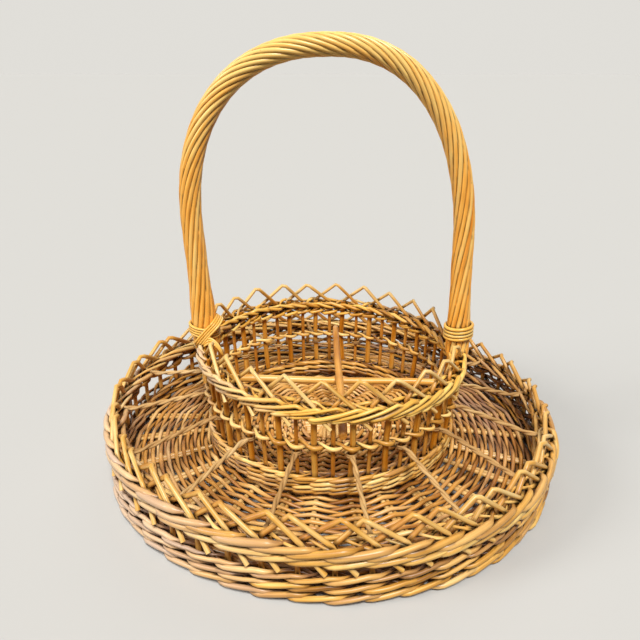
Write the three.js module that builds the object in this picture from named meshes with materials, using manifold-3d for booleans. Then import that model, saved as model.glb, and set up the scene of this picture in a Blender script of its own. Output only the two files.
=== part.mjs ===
// A round willow carrier: a low tray, a ring for bottles standing in it, and a bow handle.
// Millimetres, +Z up, origin at the middle of the foot.
import * as THREE from 'three';
import Module from 'manifold-3d';

const wasm = await Module();
wasm.setup();

// Shared by both rings
const STAKES = 48;
const GAP = 0.3;
const WEAVE_GAP = 0.5;
const PRESS = 0.6;
const WALE_RODS = 3;
const ROD_SIDES = 4;

// Floor, a shallow dome whose rows go over one spoke and under the next, round a heart of sticks
const FLOOR_CROWN = 24.5;
const FLOOR_DROP = 12.5;
const FLOOR_THICKNESS = 9;
const FLOOR_HEART = 25;
const FLOOR_SPOKES = 26;
const FLOOR_ROWS = 47;
const FLOOR_ROW_DEPTH = 3.6;
const FLOOR_UNDERSIDE_RINGS = 3;

// Outer wall
const OUTER_RADIUS = 186;
const OUTER_STAKE = 4;
const OUTER_LEG = 3.4;
const OUTER_WEAVER = 4.4;
const OUTER_WALER = 4.8;
const OUTER_ROWS = 4;
const FOOT_HEIGHT = 6.2;
const FOOT_WIDTH = 12;
const FOOT_BEVEL = 2.2;
const OUTER_WINDOW = 7.2;
const OUTER_BORDER = 15.5;
const OUTER_LEAN = 1.2;
const OUTER_TILT = -0.034;

// Inner ring
const INNER_FOOT_RADIUS = 102.5;
const INNER_RIM_RADIUS = 108;
const THIN_STAKE = 3.2;
const THICK_STAKE = 4.4;
const INNER_LEG = 3;
const INNER_WEAVER = 3.8;
const INNER_FOOT_ROWS = 3;
const MID_WEAVER = 3.2;
const MID_ROWS = 2;
const MID_HEIGHT = 62.6;
const INNER_WALE_HEIGHT = 89.2;
const INNER_BORDER = 17.5;
const INNER_LEAN = 1;
const INNER_TILT = -0.047;
const MID_TILT_SHARE = 0.5;

// Loops of the borders, counted in stakes from where a loop rises to where it is tucked in
const OUTER_SPAN = 2;
const INNER_SPAN = 3;
const LOOP_EVERY = 2;
const BEND_FLAT = 3;
const CUT_END_DROP = 4;
const CUT_END_RUN = 5;
const LAID_PAST = 3;
const LAID_SHARE = 0.5;

// Bow handle
const BOW_CENTRE = -3;
const BOW_REACH = 110.4;
const BOW_TOP = 341;
const LEFT_SHOULDER = 214;
const RIGHT_SHOULDER = 180;
const BOW_SQUARENESS = 2.4;
const BOW_QUARTER_STEPS = 8;
const CORE_ROD = 8;
const CORE_TAPER = 9;
const CORE_STEPS = 24;
const CORE_SIDES = 6;
const STRANDS = 8;
const STRAND = 4.4;
const STRAND_STEPS = 27;
const STRAND_SETTLE = 0.9;
const LEG_LAY = 300;
const TOP_LAY = 125;

// Lashings round the feet of the bow, their height counted from the top of the inner wale
const LASHING_ROD = 2.8;
const LASHING_TURNS = 4;
const LASHING_STEPS = 16;
const LASHING_SIDES = 5;
const LASHING_PITCH = 3.5;
const LASHING_HEIGHT = 9.8;

// Rods that part the bottles, and cords that part the glasses
const CROSS_ROD = 6.4;
const CROSS_ROD_SHIFT = 6.5;
const CROSS_ROD_SIDES = 6;
const CROSS_ROD_STEPS = 6;
const CROSS_ROD_FLATNESS = 4;
const CORD = 4.2;
const KNOT = 6.4;
const KNOT_LENGTH = 8;
const CORD_EVERY = 3;
const CORD_HEIGHT = 58;
const CORD_SIDES = 5;

const pitch = 2 * Math.PI / STAKES;

// Sizes that follow from the ones above
const outerRow = OUTER_WEAVER + GAP;
const outerWaleRow = OUTER_WALER + GAP;
const outerWeaveFoot = FOOT_HEIGHT + GAP;
const outerWeaveTop = outerWeaveFoot + OUTER_ROWS * outerRow - GAP;
const outerWaleFoot = outerWeaveTop + OUTER_WINDOW;
const outerWaleTop = outerWaleFoot + WALE_RODS * outerWaleRow - GAP;
const innerRow = INNER_WEAVER + GAP;
const midRow = MID_WEAVER + GAP;
const innerWaleTop = INNER_WALE_HEIGHT + WALE_RODS * innerRow - GAP;
const midTop = MID_HEIGHT + MID_ROWS * midRow - GAP;

// The rims are a little out of level: nothing at the foot, all of the tilt from the wale up, and an
// even share of it through the middle weave
function share(low, high, height) {
  return Math.min(Math.max((height - low) / (high - low), 0), 1);
}

function innerLift(height) {
  const below = share(FLOOR_CROWN, MID_HEIGHT, height);
  const above = share(midTop, INNER_WALE_HEIGHT, height);
  return THREE.MathUtils.lerp(MID_TILT_SHARE * below, 1, above);
}

const outerWall = {
  radiusAt: () => OUTER_RADIUS,
  dropAt: (height) => OUTER_TILT * share(outerWeaveTop, outerWaleFoot, height),
};

const innerWall = {
  radiusAt: (height) => THREE.MathUtils.lerp(
    INNER_FOOT_RADIUS, INNER_RIM_RADIUS, share(innerStakeFoot, innerWaleTop, height)),
  dropAt: (height) => INNER_TILT * innerLift(height),
};

// A place on a ring: an angle counted in stakes, a distance out from the stakes and a height
function ringPoint(wall, stake, out, height) {
  const radius = wall.radiusAt(height) + out;
  const x = radius * Math.cos(stake * pitch);
  const y = radius * Math.sin(stake * pitch);
  return new THREE.Vector3(x, y, height + wall.dropAt(height) * x);
}

const outward = (point) => new THREE.Vector3(point.x, point.y, 0).normalize();
const upward = () => new THREE.Vector3(0, 0, 1);

// A rod swept along points, with one corner of its section turned the way that facing says
function rod(points, radiusAt, facing, sides, closed = false) {
  const count = points.length;
  const positions = [];
  const triangles = [];
  points.forEach((point, i) => {
    const before = points[closed ? (i + count - 1) % count : Math.max(i - 1, 0)];
    const after = points[closed ? (i + 1) % count : Math.min(i + 1, count - 1)];
    const along = new THREE.Vector3().subVectors(point, before).normalize();
    along.add(new THREE.Vector3().subVectors(after, point).normalize()).normalize();
    const across = facing(point, i);
    across.addScaledVector(along, -across.dot(along)).normalize();
    const aside = new THREE.Vector3().crossVectors(along, across);
    for (let k = 0; k < sides; k++) {
      const turn = 2 * Math.PI * k / sides;
      const corner = point.clone();
      corner.addScaledVector(across, radiusAt(i) * Math.cos(turn));
      corner.addScaledVector(aside, radiusAt(i) * Math.sin(turn));
      positions.push(corner.x, corner.y, corner.z);
    }
  });
  const spans = closed ? count : count - 1;
  for (let i = 0; i < spans; i++) {
    const here = i * sides;
    const next = ((i + 1) % count) * sides;
    for (let k = 0; k < sides; k++) {
      const side = (k + 1) % sides;
      triangles.push(here + k, here + side, next + side);
      triangles.push(here + k, next + side, next + k);
    }
  }
  if (!closed) {
    const last = (count - 1) * sides;
    for (let k = 1; k < sides - 1; k++) {
      triangles.push(0, k + 1, k);
      triangles.push(last, last + k, last + k + 1);
    }
  }
  const geometry = new THREE.BufferGeometry();
  geometry.setAttribute('position', new THREE.Float32BufferAttribute(positions, 3));
  geometry.setIndex(triangles);
  return geometry;
}

// Rods that are pressed together become one body
function pressTogether(geometries) {
  let whole = null;
  for (const geometry of geometries) {
    const mesh = new wasm.Mesh({
      numProp: 3,
      vertProperties: new Float32Array(geometry.attributes.position.array),
      triVerts: new Uint32Array(geometry.index.array),
    });
    const solid = new wasm.Manifold(mesh);
    whole = whole ? whole.add(solid) : solid;
  }
  const joined = whole.getMesh();
  const geometry = new THREE.BufferGeometry();
  geometry.setAttribute('position', new THREE.Float32BufferAttribute(joined.vertProperties, 3));
  geometry.setIndex(Array.from(joined.triVerts));
  return geometry;
}

// How far a weaver swings behind the stakes, and in front of them and of the legs tucked there
function weaveSwing(stake, weaver, leg = stake, legOut = 0) {
  return {
    front: legOut + (leg + weaver) / 2 + WEAVE_GAP,
    behind: (stake + weaver) / 2 + WEAVE_GAP,
  };
}

function weaveRing(wall, height, weaver, outAt) {
  const points = [];
  for (let stake = 0; stake < STAKES; stake++) {
    points.push(ringPoint(wall, stake, outAt(stake), height));
  }
  return rod(points, () => weaver / 2, outward, ROD_SIDES, true);
}

const part = new THREE.Group();

function addMesh(name, geometry, colour, roughness) {
  const material = new THREE.MeshStandardMaterial({ color: colour, roughness, metalness: 0 });
  const mesh = new THREE.Mesh(geometry, material);
  mesh.name = name;
  part.add(mesh);
}

const STRAW = 0xd9b06a;
const TAN = 0xc79a5c;
const HONEY = 0xb9741f;
const GOLD = 0xd2923f;
const CANE = 0xdfb468;
const CORD_STRAW = 0xc8a56b;
const WILLOW_ROUGHNESS = 0.55;
const CORD_ROUGHNESS = 0.85;

// Swings of every weave, from the stakes that it goes round
const outerSpacing = OUTER_RADIUS * pitch;
const outerSwing = weaveSwing(OUTER_STAKE, OUTER_WEAVER);
const outerLegOut = (OUTER_STAKE + OUTER_LEG) / 2 + GAP;
const outerWaleSwing = weaveSwing(OUTER_STAKE, OUTER_WALER, OUTER_LEG, outerLegOut);
const innerRimSpacing = INNER_RIM_RADIUS * pitch;
const innerSwing = weaveSwing(THICK_STAKE, INNER_WEAVER);
const midSwing = weaveSwing(THICK_STAKE, MID_WEAVER);
const innerLegOut = (THICK_STAKE + INNER_LEG) / 2 - PRESS;
const innerWaleSwing = weaveSwing(THICK_STAKE, INNER_WEAVER, INNER_LEG, innerLegOut);

// Floor
const floorEdge = OUTER_RADIUS - outerSwing.behind - OUTER_WEAVER / 2 - GAP;
const floorRow = (floorEdge - FLOOR_HEART) / FLOOR_ROWS;
const floorDome = (radius) => FLOOR_CROWN - FLOOR_DROP * (radius / floorEdge) ** 2;

// A turned dome, whose rows are then pressed down at every second spoke, the next row at the others
function floorMat() {
  const profile = [new THREE.Vector2(0, FLOOR_CROWN - FLOOR_THICKNESS)];
  for (let ring = 1; ring <= FLOOR_UNDERSIDE_RINGS; ring++) {
    const radius = floorEdge * ring / FLOOR_UNDERSIDE_RINGS;
    profile.push(new THREE.Vector2(radius, floorDome(radius) - FLOOR_THICKNESS));
  }
  profile.push(new THREE.Vector2(floorEdge, floorDome(floorEdge) - FLOOR_ROW_DEPTH / 2));
  const firstRow = profile.length;
  for (let row = FLOOR_ROWS - 1; row >= 0; row--) {
    const radius = FLOOR_HEART + row * floorRow;
    profile.push(new THREE.Vector2(radius, floorDome(radius)));
  }
  profile.push(new THREE.Vector2(0, FLOOR_CROWN));
  const mat = new THREE.LatheGeometry(profile, FLOOR_SPOKES);
  const points = mat.attributes.position;
  for (let spoke = 0; spoke <= FLOOR_SPOKES; spoke++) {
    for (let row = spoke % 2; row < FLOOR_ROWS; row += 2) {
      const crossing = spoke * profile.length + firstRow + row;
      points.setY(crossing, points.getY(crossing) - FLOOR_ROW_DEPTH);
    }
  }
  return mat.rotateX(Math.PI / 2).rotateZ(Math.PI / 2);
}

// The foot, a band of stout rods worn flat underneath
function footRing() {
  const inside = OUTER_RADIUS - FOOT_WIDTH / 2;
  const outside = OUTER_RADIUS + FOOT_WIDTH / 2;
  const profile = [
    new THREE.Vector2(inside + FOOT_BEVEL, 0),
    new THREE.Vector2(outside - FOOT_BEVEL, 0),
    new THREE.Vector2(outside, FOOT_HEIGHT / 2),
    new THREE.Vector2(outside - FOOT_BEVEL, FOOT_HEIGHT),
    new THREE.Vector2(inside + FOOT_BEVEL, FOOT_HEIGHT),
    new THREE.Vector2(inside, FOOT_HEIGHT / 2),
  ];
  profile.push(profile[0].clone());
  return new THREE.LatheGeometry(profile, STAKES).rotateX(Math.PI / 2);
}

addMesh('floor_mat', floorMat(), TAN, WILLOW_ROUGHNESS);
addMesh('foot_ring', footRing(), STRAW, WILLOW_ROUGHNESS);

// Plain weave: each row goes in front of one stake and behind the next, the row above the other way
function addPlainWeave(name, wall, rows, footHeight, rowHeight, weaver, swing, first = 0) {
  for (let row = 0; row < rows; row++) {
    const height = footHeight + weaver / 2 + row * rowHeight;
    const outAt = (stake) => ((stake + row + first) % 2 ? -swing.behind : swing.front);
    addMesh(`${name}_${row + 1}`, weaveRing(wall, height, weaver, outAt), STRAW, WILLOW_ROUGHNESS);
  }
}

// Wale: each rod goes in front of two stakes and behind one, a stake on from the rod below it
function addWale(name, wall, footHeight, rowHeight, weaver, swing) {
  for (let row = 0; row < WALE_RODS; row++) {
    const height = footHeight + weaver / 2 + row * rowHeight;
    const outAt = (stake) => ((stake + row) % WALE_RODS ? swing.front : -swing.behind);
    addMesh(`${name}_${row + 1}`, weaveRing(wall, height, weaver, outAt), STRAW, WILLOW_ROUGHNESS);
  }
}

// The ring stands on the rows of the floor, where they are highest under its stakes and its weave
const innerStakeFoot = floorDome(INNER_FOOT_RADIUS - THICK_STAKE / 2) + GAP;
const innerWeaveFoot = floorDome(INNER_FOOT_RADIUS - innerSwing.behind) + GAP;
addPlainWeave('outer_weave', outerWall, OUTER_ROWS, outerWeaveFoot, outerRow, OUTER_WEAVER, outerSwing);
addWale('outer_wale', outerWall, outerWaleFoot, outerWaleRow, OUTER_WALER, outerWaleSwing);
addPlainWeave('inner_foot_weave', innerWall, INNER_FOOT_ROWS, innerWeaveFoot, innerRow,
  INNER_WEAVER, innerSwing);
addPlainWeave('inner_mid_weave', innerWall, MID_ROWS, MID_HEIGHT, midRow, MID_WEAVER, midSwing, 1);
addWale('inner_wale', innerWall, INNER_WALE_HEIGHT, innerRow, INNER_WEAVER, innerWaleSwing);

// Radii along a stake that is turned over into a loop: the upright, then the thinner loop
const taper = (stake, leg) => (i) => (i < 2 ? stake : leg) / 2;

// How far a loop steps out at its peak, so that it presses on the next loop where the two cross
function peakStep(span, every, leg, legOut) {
  const crossing = 1 - every / span;
  return (leg - PRESS - legOut * (1 - crossing)) / crossing;
}

const outerStep = peakStep(OUTER_SPAN, 1, OUTER_LEG, outerLegOut);
const innerStep = peakStep(INNER_SPAN, LOOP_EVERY, INNER_LEG, innerLegOut);

// Stakes of the outer wall. Each is turned over into a loop, crosses its neighbour and is tucked
// down in front of the next stake but one, with its cut end showing below the wale.
function outerLoop(stake) {
  const land = stake + OUTER_SPAN;
  const peak = (stake + land) / 2;
  const bend = BEND_FLAT / 2 / outerSpacing;
  const peakHeight = outerWaleTop + OUTER_BORDER;
  const cutEnd = land + CUT_END_RUN / outerSpacing;
  const tip = ringPoint(outerWall, cutEnd, outerLegOut, outerWaleFoot - CUT_END_DROP);
  const tipIsClear = tip.z - OUTER_LEG / 2 > outerWeaveTop + GAP;
  const points = [
    ringPoint(outerWall, stake, 0, outerWeaveFoot),
    ringPoint(outerWall, stake, 0, outerWaleTop),
    ringPoint(outerWall, peak - bend, -OUTER_LEAN - outerStep / 2, peakHeight),
    ringPoint(outerWall, peak + bend, -OUTER_LEAN + outerStep / 2, peakHeight),
    ringPoint(outerWall, land, outerLegOut, outerWaleTop),
    ringPoint(outerWall, land, outerLegOut, outerWaleFoot),
  ];
  if (tipIsClear) {
    points.push(tip);
  }
  return rod(points, taper(OUTER_STAKE, OUTER_LEG), outward, ROD_SIDES);
}

const outerLoops = [];
for (let stake = 0; stake < STAKES; stake++) {
  outerLoops.push(outerLoop(stake));
}
addMesh('outer_stakes_border', pressTogether(outerLoops), HONEY, WILLOW_ROUGHNESS);

// Stakes of the inner ring, thin ones that loop over between thick ones that stay upright. The two
// ends of the handle's core stand in place of a stake at each side, and no loop crosses them.
const innerPeak = innerWaleTop + INNER_BORDER;
const halfRing = STAKES / 2;
const lastLoop = halfRing - 1 - INNER_SPAN;

function innerLoop(stake) {
  const land = stake + INNER_SPAN;
  const peak = (stake + land) / 2;
  const bend = BEND_FLAT / 2 / innerRimSpacing;
  const cutEnd = land + CUT_END_RUN / innerRimSpacing;
  const points = [
    ringPoint(innerWall, stake, 0, innerStakeFoot),
    ringPoint(innerWall, stake, 0, innerWaleTop),
    ringPoint(innerWall, peak - bend, -INNER_LEAN - innerStep / 2, innerPeak),
    ringPoint(innerWall, peak + bend, -INNER_LEAN + innerStep / 2, innerPeak),
    ringPoint(innerWall, land, innerLegOut, innerWaleTop),
    ringPoint(innerWall, land, innerLegOut, INNER_WALE_HEIGHT),
    ringPoint(innerWall, cutEnd, innerLegOut, INNER_WALE_HEIGHT - CUT_END_DROP),
  ];
  return rod(points, taper(THIN_STAKE, INNER_LEG), outward, ROD_SIDES);
}

function innerUpright(stake, thickness, tips = []) {
  const points = [
    ringPoint(innerWall, stake, 0, innerStakeFoot),
    ringPoint(innerWall, stake, 0, innerWaleTop),
    ...tips,
  ];
  return rod(points, () => thickness / 2, outward, ROD_SIDES);
}

// Beside the handle three stakes have no loop of their own and are tucked against the next one: the
// first of the half ring, the first that no loop lands on and the one after the last loop
function tuckedStakes(first) {
  const laidFrom = first + 1;
  const leftFrom = first + LOOP_EVERY + 1;
  const rightFrom = first + lastLoop + LOOP_EVERY;
  const half = INNER_SPAN / 2;
  const along = 1 / half;
  const inside = -INNER_LEAN - innerStep / 2;
  const outside = -INNER_LEAN + innerStep / 2;
  const touch = (THIN_STAKE + INNER_LEG) / 2 - 2 * PRESS;
  const tuckHeight = innerWaleTop + INNER_BORDER * along;
  const leftTip = ringPoint(innerWall, leftFrom, inside * along + touch, tuckHeight);
  const rightOut = THREE.MathUtils.lerp(innerLegOut, outside, along);
  const rightTip = ringPoint(innerWall, rightFrom, rightOut - touch, tuckHeight);
  const laidLow = ringPoint(innerWall, laidFrom, 0, innerWaleTop + THICK_STAKE);
  const laidHeight = innerWaleTop + INNER_BORDER * LAID_SHARE;
  const laidStake = first + LOOP_EVERY + half * LAID_SHARE + LAID_PAST / innerRimSpacing;
  const laidTip = ringPoint(innerWall, laidStake, inside * LAID_SHARE + touch, laidHeight);
  return [
    innerUpright(laidFrom, THIN_STAKE, [laidLow, laidTip]),
    innerUpright(leftFrom, THIN_STAKE, [leftTip]),
    innerUpright(rightFrom, THIN_STAKE, [rightTip]),
  ];
}

function innerHalf(first) {
  const pieces = tuckedStakes(first);
  for (let stake = LOOP_EVERY; stake <= lastLoop; stake += LOOP_EVERY) {
    pieces.push(innerLoop(first + stake));
    pieces.push(innerUpright(first + stake + INNER_SPAN, THICK_STAKE));
  }
  return pressTogether(pieces);
}

addMesh('inner_stakes_border_back', innerHalf(0), HONEY, WILLOW_ROUGHNESS);
addMesh('inner_stakes_border_front', innerHalf(halfRing), HONEY, WILLOW_ROUGHNESS);

// The line of the bow: a straight leg at each side, then a round shoulder up to the top
function bowQuarter(side, shoulder) {
  const points = [];
  for (let i = 0; i <= BOW_QUARTER_STEPS; i++) {
    const turn = Math.PI / 2 * i / BOW_QUARTER_STEPS;
    const x = BOW_CENTRE + side * BOW_REACH * Math.cos(turn) ** (2 / BOW_SQUARENESS);
    const rise = Math.sin(turn) ** (2 / BOW_SQUARENESS);
    points.push(new THREE.Vector3(x, 0, THREE.MathUtils.lerp(shoulder, BOW_TOP, rise)));
  }
  return points;
}

const leftFoot = ringPoint(innerWall, halfRing, 0, innerWaleTop);
const rightFoot = ringPoint(innerWall, 0, 0, innerWaleTop);
const bowLine = new THREE.CatmullRomCurve3([
  leftFoot,
  ...bowQuarter(-1, LEFT_SHOULDER),
  ...bowQuarter(1, RIGHT_SHOULDER).reverse().slice(1),
  rightFoot,
], false, 'centripetal');
const bowLength = bowLine.getLength();

// The core, with slim ends that are pushed down through the wale beside the stakes
function handleCore() {
  const ends = CORE_TAPER / bowLength;
  const path = [
    ringPoint(innerWall, halfRing, 0, innerStakeFoot),
    leftFoot,
    bowLine.getPointAt(ends),
    ...bowLine.getSpacedPoints(CORE_STEPS).slice(1, CORE_STEPS),
    bowLine.getPointAt(1 - ends),
    rightFoot,
    ringPoint(innerWall, 0, 0, innerStakeFoot),
  ];
  const isSlim = (i) => i < 2 || i > path.length - 3;
  const radiusAt = (i) => (isSlim(i) ? THICK_STAKE : CORE_ROD) / 2;
  const heart = new THREE.Vector3(BOW_CENTRE, 0, (innerWaleTop + BOW_TOP) / 2);
  return rod(path, radiusAt, (point) => point.clone().sub(heart), CORE_SIDES);
}

addMesh('handle_core', handleCore(), HONEY, WILLOW_ROUGHNESS);

// Rods laid round the core, in a long lay on the legs and a short one over the top
const strandOut = (CORE_ROD + STRAND) / 2 + GAP + STRAND_SETTLE;
const strandStart = (STRAND / 2 + GAP) / bowLength;

function handleStrand(strand) {
  const points = [];
  const sides = [];
  let turn = 2 * Math.PI * strand / STRANDS;
  const step = (1 - 2 * strandStart) / STRAND_STEPS;
  for (let i = 0; i <= STRAND_STEPS; i++) {
    const at = strandStart + i * step;
    const along = bowLine.getTangentAt(at);
    const level = new THREE.Vector3(0, 1, 0);
    const raised = new THREE.Vector3().crossVectors(along, level);
    const side = level.multiplyScalar(Math.cos(turn)).addScaledVector(raised, Math.sin(turn));
    sides.push(side);
    points.push(bowLine.getPointAt(at).addScaledVector(side, strandOut));
    const lay = THREE.MathUtils.lerp(LEG_LAY, TOP_LAY, Math.sin(Math.PI * at) ** 2);
    turn += 2 * Math.PI * bowLength * step / lay;
  }
  return rod(points, () => STRAND / 2, (point, i) => sides[i].clone(), ROD_SIDES);
}

for (let strand = 0; strand < STRANDS; strand++) {
  addMesh(`handle_strand_${strand + 1}`, handleStrand(strand), GOLD, WILLOW_ROUGHNESS);
}

// A lashing winds round the strands near each foot of the bow as one unbroken rod
const lashingOut = strandOut + (STRAND + LASHING_ROD) / 2 + GAP;

function lashing(foot, shoulderX, shoulder) {
  const points = [];
  const centres = [];
  const steps = LASHING_TURNS * LASHING_STEPS;
  for (let i = 0; i <= steps; i++) {
    const height = innerWaleTop + LASHING_HEIGHT + LASHING_PITCH * i / LASHING_STEPS;
    const rise = (height - foot.z) / (shoulder - foot.z);
    const centre = new THREE.Vector3(THREE.MathUtils.lerp(foot.x, shoulderX, rise), 0, height);
    const turn = 2 * Math.PI * i / LASHING_STEPS;
    const out = new THREE.Vector3(Math.cos(turn), Math.sin(turn), 0);
    centres.push(centre);
    points.push(centre.clone().addScaledVector(out, lashingOut));
  }
  let least = Infinity;
  for (let i = 0; i + LASHING_STEPS <= steps; i++) {
    for (let near = i + LASHING_STEPS / 2; near <= steps; near++) {
      least = Math.min(least, points[i].distanceTo(points[near]) - LASHING_ROD);
    }
  }
  console.log(`lashing turns lie ${least.toFixed(2)} mm apart`);
  const facing = (point, i) => point.clone().sub(centres[i]).normalize();
  return rod(points, () => LASHING_ROD / 2, facing, LASHING_SIDES);
}

const leftReach = BOW_CENTRE - BOW_REACH;
const rightReach = BOW_CENTRE + BOW_REACH;
addMesh('lashing_left', lashing(leftFoot, leftReach, LEFT_SHOULDER), CANE, WILLOW_ROUGHNESS);
addMesh('lashing_right', lashing(rightFoot, rightReach, RIGHT_SHOULDER), CANE, WILLOW_ROUGHNESS);

// Two rods across the ring rest on the middle weave, between the stakes, the second over the first
const crossRodUnder = midTop + GAP;
const crossRodRest = crossRodUnder + CROSS_ROD / 2;
const crossRodReach = -THICK_STAKE / 2 - GAP
  + Math.min(innerWall.radiusAt(crossRodUnder), innerWall.radiusAt(crossRodUnder + CROSS_ROD));

function crossRodLower() {
  const y = -crossRodReach * Math.sin(pitch);
  const x = crossRodReach * Math.cos(pitch);
  const left = ringPoint(innerWall, halfRing + 1, 0, crossRodRest).z;
  const right = ringPoint(innerWall, STAKES - 1, 0, crossRodRest).z;
  const points = [new THREE.Vector3(-x, y, left), new THREE.Vector3(x, y, right)];
  return rod(points, () => CROSS_ROD / 2, upward, CROSS_ROD_SIDES);
}

function crossRodUpper() {
  const y = Math.sqrt(crossRodReach ** 2 - CROSS_ROD_SHIFT ** 2) - GAP;
  const points = [];
  for (let i = 0; i <= CROSS_ROD_STEPS; i++) {
    const along = 2 * i / CROSS_ROD_STEPS - 1;
    const bow = (CROSS_ROD + 2 * GAP) * (1 - along ** CROSS_ROD_FLATNESS);
    points.push(new THREE.Vector3(CROSS_ROD_SHIFT, y * along, crossRodRest + bow));
  }
  return rod(points, () => CROSS_ROD / 2, upward, CROSS_ROD_SIDES);
}

addMesh('cross_rod_lower', crossRodLower(), GOLD, WILLOW_ROUGHNESS);
addMesh('cross_rod_upper', crossRodUpper(), TAN, WILLOW_ROUGHNESS);

// A cord from every third stake of the inner ring to the back strokes of the outer wale
function dividerCord(stake) {
  const outerHeight = outerWaleFoot + OUTER_WALER / 2 + (WALE_RODS - 1) * outerWaleRow;
  const outerOut = -outerWaleSwing.behind - OUTER_WALER / 2 - GAP;
  const innerOut = THICK_STAKE / 2 + GAP;
  const innerKnot = ringPoint(innerWall, stake, innerOut + KNOT_LENGTH, CORD_HEIGHT);
  const outerKnot = ringPoint(outerWall, stake, outerOut - KNOT_LENGTH, outerHeight);
  const free = new THREE.LineCurve3(innerKnot, outerKnot);
  const thin = KNOT_LENGTH / free.getLength();
  const points = [
    ringPoint(innerWall, stake, innerOut, CORD_HEIGHT),
    innerKnot,
    free.getPointAt(thin),
    free.getPointAt(1 - thin),
    outerKnot,
    ringPoint(outerWall, stake, outerOut, outerHeight),
  ];
  const radiusAt = (i) => (i < 2 || i > 3 ? KNOT : CORD) / 2;
  return rod(points, radiusAt, upward, CORD_SIDES);
}

for (let stake = 1; stake < STAKES; stake += CORD_EVERY) {
  const number = (stake - 1) / CORD_EVERY + 1;
  addMesh(`divider_cord_${number}`, dividerCord(stake), CORD_STRAW, CORD_ROUGHNESS);
}

export default part;
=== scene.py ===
# %% [markdown]
# A round willow carrier. A low tray for glasses runs round a raised ring for bottles, and a bow of
# twisted rods carries both. Every piece is a bent rod, so this lesson is about drawing rods: where
# each one runs, how thick it is along its length, and how its colour changes from its butt to its tip.
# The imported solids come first. They are the fixed frame, and every rod below follows their sizes.
# Sizes are written in millimetres, as a maker would say them, and are turned to metres last.

# %% Load the frame
import math

import bmesh
import bpy
import numpy as np
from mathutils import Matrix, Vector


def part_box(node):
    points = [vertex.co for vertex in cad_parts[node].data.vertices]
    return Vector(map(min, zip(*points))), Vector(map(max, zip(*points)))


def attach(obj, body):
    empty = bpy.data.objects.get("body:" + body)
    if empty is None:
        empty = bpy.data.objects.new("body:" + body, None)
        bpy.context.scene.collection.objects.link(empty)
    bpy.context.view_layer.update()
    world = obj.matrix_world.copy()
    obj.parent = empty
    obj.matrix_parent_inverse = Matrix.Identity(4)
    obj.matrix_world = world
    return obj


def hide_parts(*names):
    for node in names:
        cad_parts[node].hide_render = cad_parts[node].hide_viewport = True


MM, TO_MM = 0.001, 1000
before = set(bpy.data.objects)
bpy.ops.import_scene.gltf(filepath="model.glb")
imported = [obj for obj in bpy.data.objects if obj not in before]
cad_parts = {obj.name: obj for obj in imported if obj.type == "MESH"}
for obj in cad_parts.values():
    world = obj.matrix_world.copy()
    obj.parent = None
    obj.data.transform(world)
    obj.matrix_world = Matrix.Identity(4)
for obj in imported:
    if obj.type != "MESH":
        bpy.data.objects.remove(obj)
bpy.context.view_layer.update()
bpy.ops.object.select_all(action="DESELECT")


print("frame nodes:", len(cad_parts))

# %% [markdown]
# The camera comes next, because each step is judged through it. The photograph was taken from in
# front and a little above. A lens of about 36 mm at 60 cm gives its strong perspective.

# %% Camera
CAMERA_PLACE, CAMERA_TILT = (-9.8, -509.0, 331.7), 22.22
LENS_MM, SENSOR_MM = 36.1, 36.0


def metres(point):
    return tuple(MM * float(value) for value in point)


camera_data = bpy.data.cameras.new("camera")
camera_data.sensor_width = SENSOR_MM
camera_data.lens = LENS_MM
camera = bpy.data.objects.new("camera", camera_data)
bpy.context.scene.collection.objects.link(camera)
camera.location = metres(CAMERA_PLACE)
camera.rotation_euler = (math.radians(90 - CAMERA_TILT), 0.0, 0.0)
bpy.context.scene.camera = camera
bpy.context.scene.view_settings.view_transform = "Standard"
print("camera stands at", tuple(round(value, 3) for value in camera.location))

# %% [markdown]
# Both walls are rings of upright stakes. A place on a wall is an angle counted in stakes, a distance
# out from the stakes, and a height. The rims of a hand-made carrier are a little out of level, so a
# wall also drops towards one side, by nothing at its foot and by its full tilt from the wale up. The
# ring leans out too, from its foot to its rim. The tilt is a drop for each millimetre to the right.

# %% Walls
STAKES = 48
PITCH = 2 * math.pi / STAKES
FLOOR_CROWN = 24.5
OUTER_RADIUS, OUTER_TILT = 186.0, -0.034
OUTER_WEAVE_TOP, OUTER_WALE_FOOT, OUTER_WALE_TOP = 25.0, 32.2, 47.2
INNER_FOOT_RADIUS, INNER_RIM_RADIUS, INNER_TILT = 102.5, 108.0, -0.047
MID_FOOT, MID_TOP, MID_TILT_SHARE = 62.6, 69.3, 0.5
INNER_WALE_FOOT, INNER_WALE_TOP = 89.2, 101.2
INNER_STAKE_FOOT = TO_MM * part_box("inner_stakes_border_back")[0].z


def share(low, high, value):
    return np.clip((np.asarray(value, float) - low) / (high - low), 0.0, 1.0)


def blend(start, end, amount):
    return start + (end - start) * amount


def smooth(amount):
    return amount * amount * (3 - 2 * amount)


def ring_points(stake, radius, height, drop):
    angle = np.asarray(stake, float) * PITCH
    x = radius * np.cos(angle)
    return np.stack(np.broadcast_arrays(x, radius * np.sin(angle), height + drop * x), axis=-1)


def outer_wall(stake, out, height):
    drop = OUTER_TILT * share(OUTER_WEAVE_TOP, OUTER_WALE_FOOT, height)
    return ring_points(stake, OUTER_RADIUS + np.asarray(out, float), height, drop)


def inner_wall(stake, out, height):
    low = MID_TILT_SHARE * share(FLOOR_CROWN, MID_FOOT, height)
    drop = INNER_TILT * blend(low, 1.0, share(MID_TOP, INNER_WALE_FOOT, height))
    lean = share(INNER_STAKE_FOOT, INNER_WALE_TOP, height)
    radius = blend(INNER_FOOT_RADIUS, INNER_RIM_RADIUS, lean)
    return ring_points(stake, radius + np.asarray(out, float), height, drop)


print("stakes stand", round(OUTER_RADIUS * PITCH, 1), "mm apart outside,",
      round(INNER_RIM_RADIUS * PITCH, 1), "mm inside")

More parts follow.
